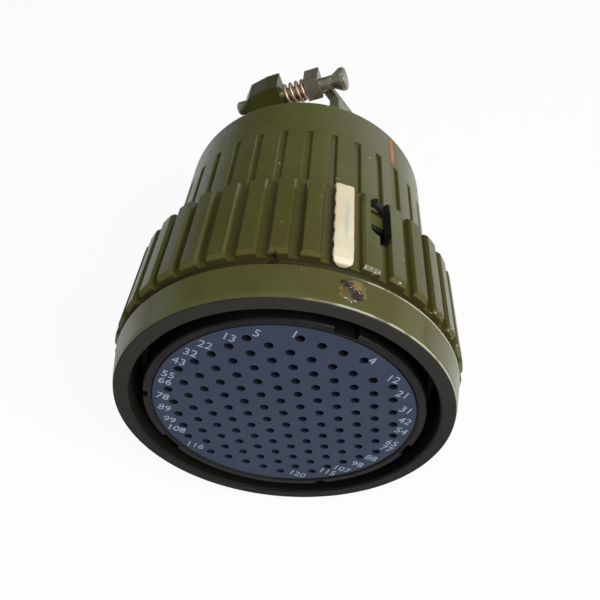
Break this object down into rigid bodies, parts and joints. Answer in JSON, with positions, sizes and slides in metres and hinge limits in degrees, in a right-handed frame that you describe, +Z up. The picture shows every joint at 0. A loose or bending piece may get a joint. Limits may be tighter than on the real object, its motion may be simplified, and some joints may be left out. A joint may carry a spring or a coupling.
{
  "type": "circular push-pull connector plug",
  "caption": "Round push-pull cable plug with a ribbed olive coupling sleeve, a blue socket insert and a spring-loaded cable clamp.",
  "frame": {"origin": "on the plug's axis, in the plane of the insert's mating face", "axes": "-Y leaves the mating face, +Y runs back along the axis to the cable clamp, +Z is up with the plug lying on its side"},
  "size_m": [0.0602, 0.0762, 0.0602],
  "materials": {
    "olive_paint": "glossy olive enamel",
    "dark_olive_paint": "dark olive enamel",
    "dark_metal": "satin black-grey finish",
    "blue_insert": "matt slate blue moulding",
    "brown_insert": "matt brown moulding",
    "red_rubber": "matt silicone rubber",
    "gold": "gold plated",
    "spring_steel": "bright",
    "black_rubber": "matt",
    "lacquered_screw": "brass under amber lacquer",
    "worn_olive_steel": "worn olive enamel over bright metal",
    "copper_wire": "coppery wire"
  },
  "bodies": {
    "plug": {"plug_barrel": "dark_metal", "front_insert": "blue_insert", "rear_insert": "brown_insert", "wire_grommet": "red_rubber", "socket_contacts": "gold", "insert_retainer": "spring_steel", "shell_seal": "black_rubber", "coupling_spring": "spring_steel", "spring_seat_nut": "olive_paint", "stop_pins": "spring_steel", "rear_shell": "olive_paint", "shell_o_ring": "black_rubber", "clamp_body": "dark_olive_paint", "clamp_nut": "spring_steel", "clamp_screws": "worn_olive_steel", "saddle_springs": "copper_wire"},
    "thrust": {"thrust_ring": "spring_steel"},
    "sleeve": {"coupling_sleeve": "olive_paint", "band_screw": "lacquered_screw"},
    "saddle": {"moving_saddle": "worn_olive_steel"}
  },
  "joints": [
    {"name": "sleeve_pull", "type": "slide", "parent": "plug", "child": "thrust", "axis": [0, 1, 0], "range_m": [0, 0.0035], "stiffness_N_per_m": 4000, "springref_m": -0.002, "deforming": ["coupling_spring"]},
    {"name": "sleeve_twist", "type": "hinge", "parent": "thrust", "child": "sleeve", "pos_m": [0, 0.014, 0], "axis": [0, 1, 0], "range_deg": [0, 27.5]},
    {"name": "saddle_slide", "type": "slide", "parent": "plug", "child": "saddle", "axis": [0.9455, 0, 0.3256], "range_m": [-0.002, 0.0026], "stiffness_N_per_m": 300, "deforming": ["saddle_springs"]}
  ]
}
